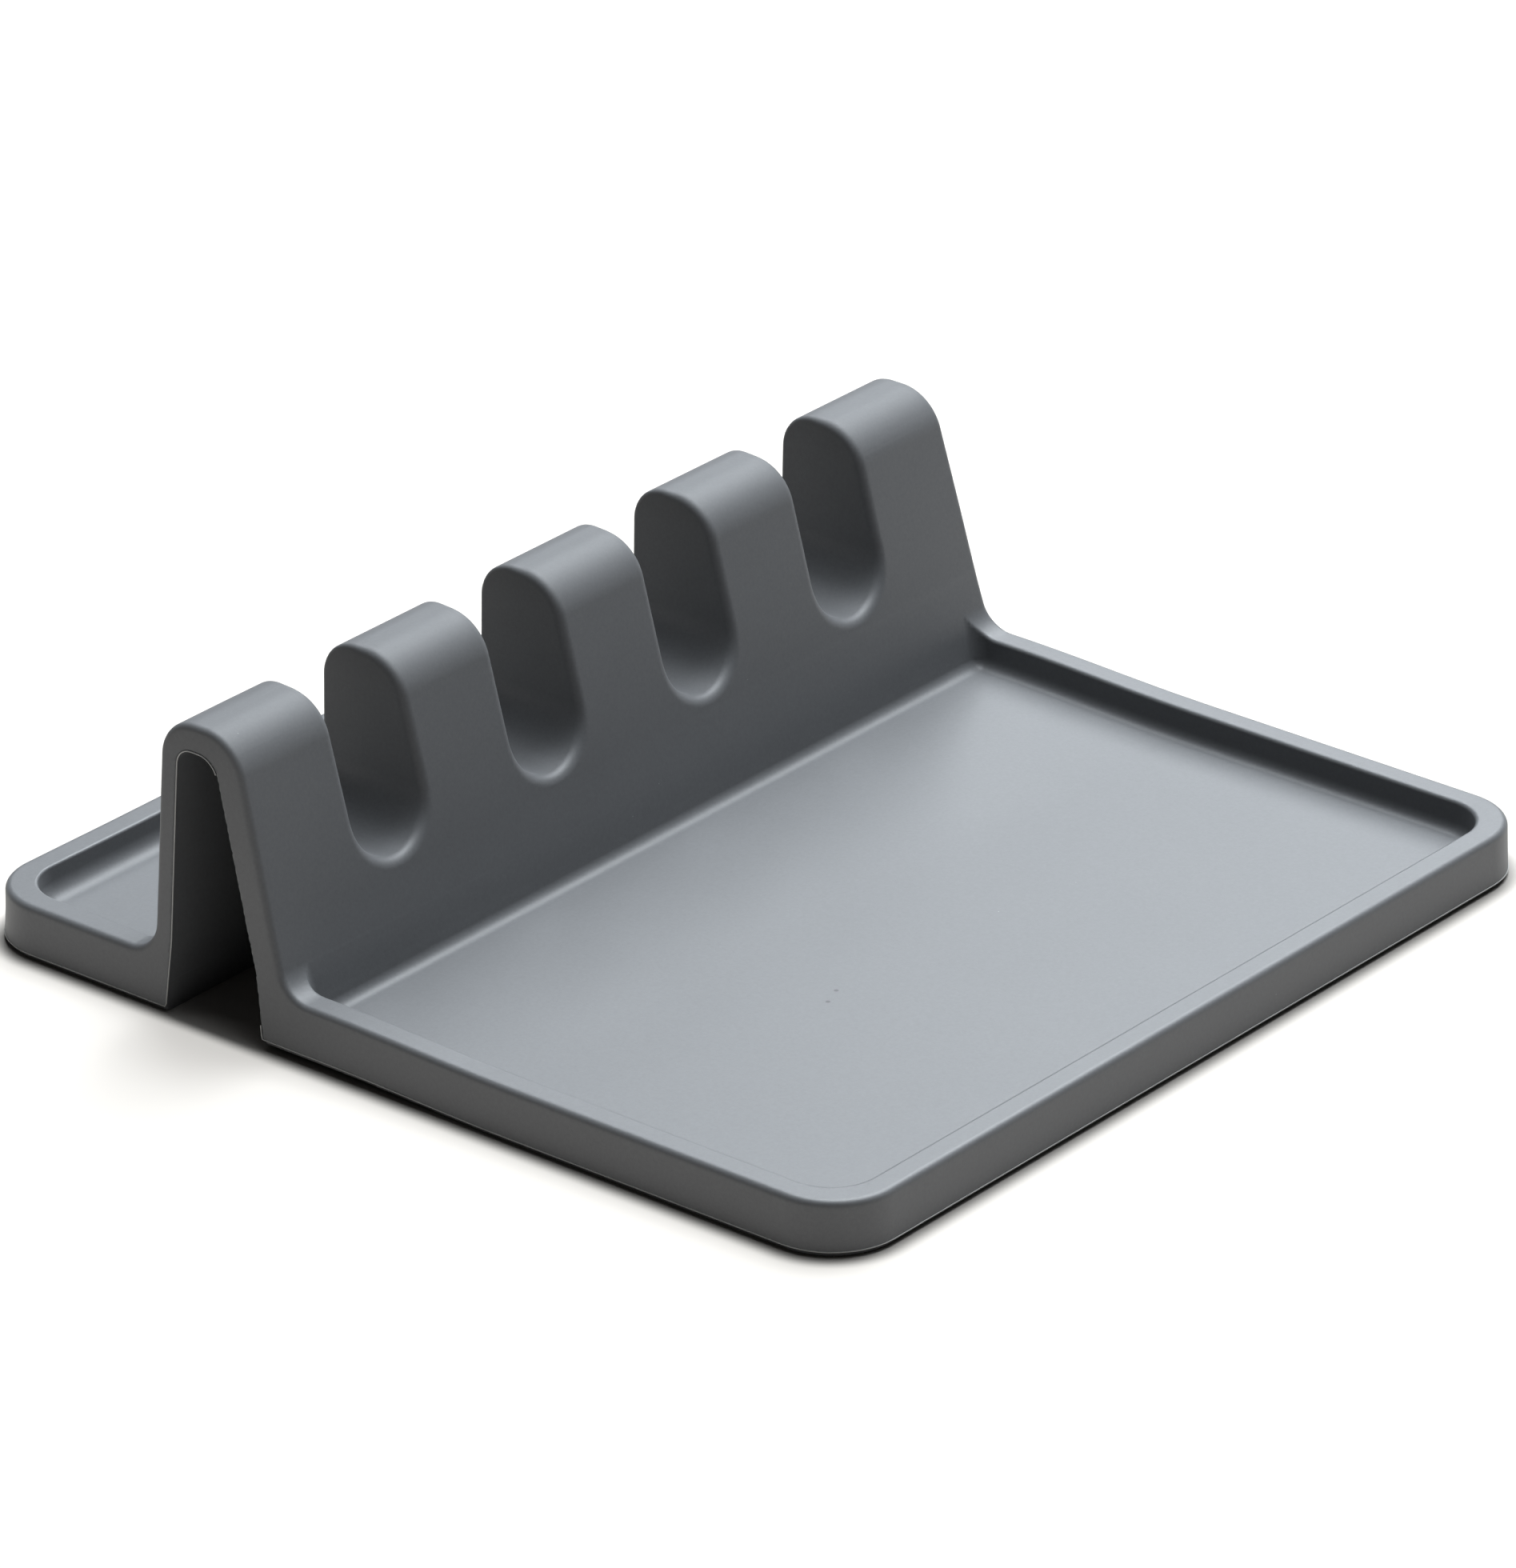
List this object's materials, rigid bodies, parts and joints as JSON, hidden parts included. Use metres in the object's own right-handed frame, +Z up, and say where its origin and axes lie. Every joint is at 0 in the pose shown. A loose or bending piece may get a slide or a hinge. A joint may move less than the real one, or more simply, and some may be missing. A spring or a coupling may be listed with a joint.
{
  "type": "spoon rest",
  "caption": "Square silicone spoon rest: a shallow drip tray with a raised rim, crossed near the back by a hollow folded ridge with U-shaped slots for utensil handles.",
  "frame": {"origin": "on the table, under the middle of the base", "axes": "+Z up, +X along the ridge, -Y towards the front edge of the large drip tray"},
  "size_m": [0.201, 0.1996, 0.0565],
  "materials": {
    "silicone": "fine matte moulded silicone, cool slate grey"
  },
  "bodies": {
    "root": {"silicone_body": "silicone"}
  },
  "joints": []
}
